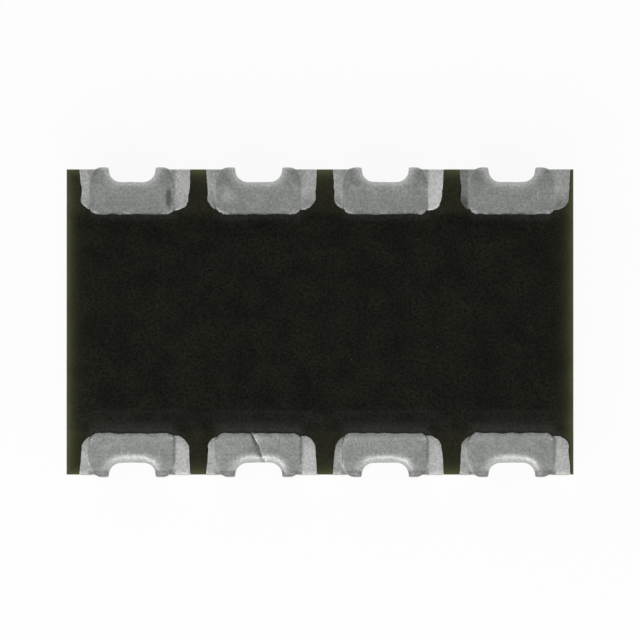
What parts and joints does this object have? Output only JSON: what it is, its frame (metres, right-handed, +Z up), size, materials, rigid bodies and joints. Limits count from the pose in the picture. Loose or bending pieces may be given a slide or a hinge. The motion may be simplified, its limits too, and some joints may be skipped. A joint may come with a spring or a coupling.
{
  "type": "chip resistor network",
  "caption": "Flat rectangular ceramic chip with a black coat over thick-film resistors, and tinned solder terminals that wrap through half-slots in its two long edges.",
  "frame": {"origin": "middle of the seating plane, under the middle of the chip", "axes": "+X along the chip and its two rows of terminals, +Y across the chip from the row of terminals 1 to 4 to the row of terminals 5 to 8, +Z up from the board towards the black coat"},
  "size_m": [0.005, 0.0032, 0.0006],
  "materials": {
    "alumina": "matt fired",
    "black_resin": "satin",
    "resistor_paste": "matt fired",
    "covering_glass": "gloss",
    "inner_silver": "matt fired",
    "slot_silver": "matt fired",
    "nickel": "satin",
    "matt_tin": "matt"
  },
  "bodies": {
    "root": {"ceramic_substrate": "alumina", "black_overcoat": "black_resin", "resistor_film_1": "resistor_paste", "resistor_film_2": "resistor_paste", "resistor_film_3": "resistor_paste", "resistor_film_4": "resistor_paste", "glass_coat_1": "covering_glass", "glass_coat_2": "covering_glass", "glass_coat_3": "covering_glass", "glass_coat_4": "covering_glass", "top_electrode_1": "inner_silver", "top_electrode_2": "inner_silver", "top_electrode_3": "inner_silver", "top_electrode_4": "inner_silver", "top_electrode_5": "inner_silver", "top_electrode_6": "inner_silver", "top_electrode_7": "inner_silver", "top_electrode_8": "inner_silver", "bottom_electrode_1": "inner_silver", "bottom_electrode_2": "inner_silver", "bottom_electrode_3": "inner_silver", "bottom_electrode_4": "inner_silver", "bottom_electrode_5": "inner_silver", "bottom_electrode_6": "inner_silver", "bottom_electrode_7": "inner_silver", "bottom_electrode_8": "inner_silver", "slot_electrode_1": "slot_silver", "slot_electrode_2": "slot_silver", "slot_electrode_3": "slot_silver", "slot_electrode_4": "slot_silver", "slot_electrode_5": "slot_silver", "slot_electrode_6": "slot_silver", "slot_electrode_7": "slot_silver", "slot_electrode_8": "slot_silver", "nickel_barrier_1": "nickel", "nickel_barrier_2": "nickel", "nickel_barrier_3": "nickel", "nickel_barrier_4": "nickel", "nickel_barrier_5": "nickel", "nickel_barrier_6": "nickel", "nickel_barrier_7": "nickel", "nickel_barrier_8": "nickel", "tin_plating_1": "matt_tin", "tin_plating_2": "matt_tin", "tin_plating_3": "matt_tin", "tin_plating_4": "matt_tin", "tin_plating_5": "matt_tin", "tin_plating_6": "matt_tin", "tin_plating_7": "matt_tin", "tin_plating_8": "matt_tin"}
  },
  "joints": []
}
